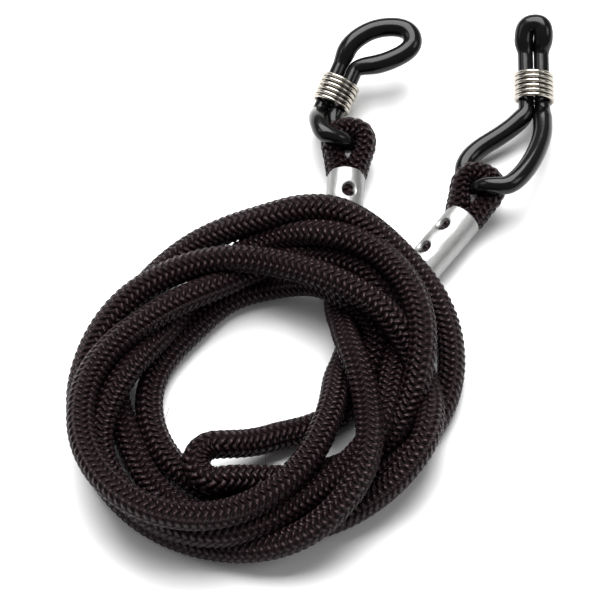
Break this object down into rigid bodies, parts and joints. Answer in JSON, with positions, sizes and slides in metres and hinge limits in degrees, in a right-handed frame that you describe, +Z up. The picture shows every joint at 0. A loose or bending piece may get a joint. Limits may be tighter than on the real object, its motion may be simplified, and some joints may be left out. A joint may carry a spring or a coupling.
{
  "type": "eyeglass retainer strap",
  "caption": "Braided cord strap for eyeglasses, lying in a loose coil, with a crimped metal sleeve, a rubber temple ring and a sliding wire coil at each end.",
  "frame": {"origin": "on the surface that the strap lies on, under the middle of the box round the sleeves, rubber rings and wire coils", "axes": "+Z up from the surface; +Y from the coil towards the tips of the rubber rings; +X from end A to end B"},
  "size_m": [0.0775, 0.0943, 0.0107],
  "materials": {
    "braided_cord": "braided nylon, dark brown-black",
    "sleeve_aluminium": "tumbled satin",
    "ring_rubber": "smooth, glossy",
    "plated_wire": "bright nickel plate"
  },
  "bodies": {
    "strap": {"cord_coil": "braided_cord", "cord_eye_a": "braided_cord", "cord_eye_b": "braided_cord", "crimp_sleeve_a": "sleeve_aluminium", "crimp_sleeve_b": "sleeve_aluminium"},
    "ring_a": {"rubber_ring_a": "ring_rubber"},
    "slider_a": {"wire_slider_a": "plated_wire"},
    "ring_b": {"rubber_ring_b": "ring_rubber"},
    "slider_b": {"wire_slider_b": "plated_wire"}
  },
  "joints": [
    {"name": "ring_a_swing", "type": "hinge", "parent": "strap", "child": "ring_a", "pos_m": [-0.01315, 0.00139, 0.00443], "axis": [-0.0192, -0.275, 0.9613], "range_deg": [-24, 25]},
    {"name": "slider_a_slide", "type": "slide", "parent": "ring_a", "child": "slider_a", "axis": [0.3979, 0.8771, 0.2689], "range_m": [-0.0005, 0.0015]},
    {"name": "ring_b_swing", "type": "hinge", "parent": "strap", "child": "ring_b", "pos_m": [0.00715, -0.00709, 0.00443], "axis": [-0.1187, -0.2488, 0.9613], "range_deg": [-35, 14]},
    {"name": "slider_b_slide", "type": "slide", "parent": "ring_b", "child": "slider_b", "axis": [0, 0.9659, 0.2588], "range_m": [-0.0005, 0.0025]}
  ]
}
